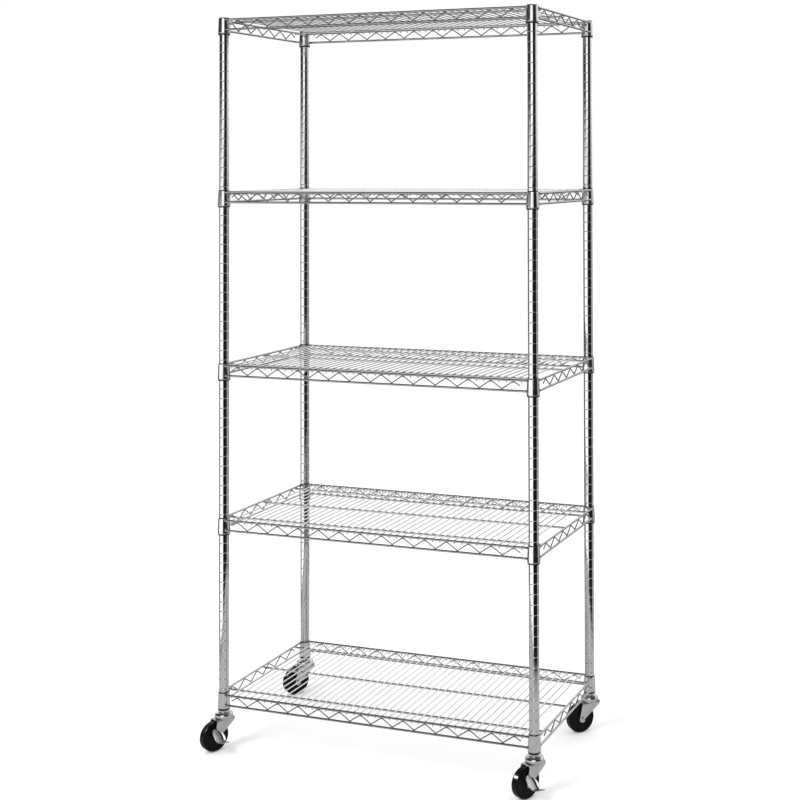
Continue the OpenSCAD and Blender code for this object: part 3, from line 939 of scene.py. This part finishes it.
def build_floor():
    """White paper that runs into the background; reflections see only the grey sheet near the rack."""
    bpy.ops.mesh.primitive_plane_add(size=60, location=(0, 0, 0))
    floor = bpy.context.object
    floor.name = "floor"
    material, n, shader, place = new_material("floor")
    paper = n.noise(place, 3.0, 4.0)
    n.put(shader.inputs["Base Color"], n.mix(paper, grey(0.90), grey(0.92)))
    n.put(shader.inputs["Roughness"], 0.9)
    n.put(shader.inputs["Specular IOR Level"], 0.0)
    n.put(shader.inputs["Emission Color"], grey(1.0))
    n.put(shader.inputs["Emission Strength"], 0.15)
    away = n.add("ShaderNodeVectorMath", {0: place}, operation="LENGTH").outputs["Value"]
    near = n.map_range(away, SHEET_REACH - 0.25, SHEET_REACH + 0.15, SHEET_BRIGHTNESS, 0.0)
    sheet_light = n.add("ShaderNodeEmission", {"Color": grey(1.0), "Strength": near}).outputs[0]
    gone = n.add("ShaderNodeBsdfTransparent").outputs[0]
    is_near = n.map_range(away, SHEET_REACH - 0.05, SHEET_REACH + 0.05, 1.0, 0.0)
    reflected = n.add("ShaderNodeMixShader", {0: is_near, 1: gone, 2: sheet_light}).outputs[0]
    glossy = n.add("ShaderNodeLightPath").outputs["Is Glossy Ray"]
    both = n.add("ShaderNodeMixShader", {0: glossy, 1: shader.outputs[0], 2: reflected}).outputs[0]
    n.put(material.node_tree.nodes["Material Output"].inputs["Surface"], both)
    floor.data.materials.append(material)


def ramp(n, position, marks):
    """Colour ramp of greys from (degrees to the right of the camera, brightness) marks."""
    node = n.add("ShaderNodeValToRGB", {0: position})
    elements = node.color_ramp.elements
    for i, (degrees, value) in enumerate(marks):
        place = 0.5 + degrees / 360
        if i == 0:
            mark = elements[0]
        elif i == len(marks) - 1:
            mark = elements[-1]
        else:
            mark = elements.new(place)
        mark.position = place
        mark.color = grey(value)
    return node.outputs[0]


def build_world():
    """White room for the eye; for reflections, white and dark panels around the rack."""
    world = bpy.data.worlds.new("studio")
    bpy.context.scene.world = world
    world.use_nodes = True
    n = Nodes(world.node_tree)
    direction = n.add("ShaderNodeTexCoord").outputs["Generated"]
    split = n.add("ShaderNodeSeparateXYZ", {0: direction})
    height = split.outputs["Z"]
    azimuth = n.math("ARCTAN2", split.outputs["Y"], split.outputs["X"])
    to_camera = math.atan2(CAMERA_AT[1], CAMERA_AT[0])
    turned = n.math("ADD", n.math("SUBTRACT", azimuth, to_camera), 3 * math.pi)
    around = n.math("DIVIDE", n.math("MODULO", turned, TAU), TAU)
    above = n.map_range(height, -0.03, 0.05, 0.0, 1.0)
    belt = n.mix(above, ramp(n, around, PANELS_LOW), ramp(n, around, PANELS_HIGH))
    roofed = n.mix(n.map_range(height, 0.55, 0.72, 0.0, 1.0), belt, grey(ZENITH))
    panels = n.mix(n.map_range(height, -0.45, -0.62, 0.0, 1.0), roofed, grey(NADIR))
    sky = n.add("ShaderNodeBackground", {"Color": grey(1.0), "Strength": 1.0})
    panel = n.add("ShaderNodeBackground", {"Color": panels, "Strength": 1.0})
    is_glossy = n.add("ShaderNodeLightPath").outputs["Is Glossy Ray"]
    both = n.add("ShaderNodeMixShader", {0: is_glossy, 1: sky.outputs[0], 2: panel.outputs[0]})
    n.put(world.node_tree.nodes["World Output"].inputs["Surface"], both.outputs[0])


def build_softbox(name, at, aim, size, power, receivers):
    """A lamp that no metal mirrors; one with receivers lights and is mirrored in those only."""
    data = bpy.data.lights.new(name, "AREA")
    data.shape = "RECTANGLE"
    data.size, data.size_y = size
    data.energy = power
    lamp = bpy.data.objects.new(name, data)
    bpy.context.scene.collection.objects.link(lamp)
    lamp.location = at
    lamp.rotation_euler = (Vector(aim) - Vector(at)).to_track_quat("-Z", "Y").to_euler()
    lamp.visible_glossy = receivers is not None
    if receivers:
        group = bpy.data.collections.new(f"lit_by_{name}")
        for obj in receivers:
            group.objects.link(obj)
        lamp.light_linking.receiver_collection = group


# ---- Build ------------------------------------------------------------------

build_posts()
build_caps()
build_sockets()
build_sleeves()
for shelf in SHELVES:
    build_rods(shelf)
    build_truss(shelf)
    build_deck(shelf)
    build_collars(shelf)
wheels = [build_wheel(corner) for corner in CORNERS]
for corner in CORNERS:
    build_stem(corner)
    build_fork(corner)
    build_nut(corner)
    build_axle(corner)
    dress_inner_parts(corner)
    if corner.startswith("front"):
        build_brake_pin(corner)
        build_lever(corner)

build_floor()
build_world()
build_softbox("key", at=(-1.6, -3.0, 3.4), aim=(0, 0, 0.4), size=(1.6, 1.6), power=80, receivers=None)
build_softbox("glint", at=(-2.2, -0.95, 1.4), aim=(0, 0, 0.04), size=(0.3, 0.6), power=90, receivers=wheels)
build_camera()
bpy.context.scene.view_settings.view_transform = "Standard"
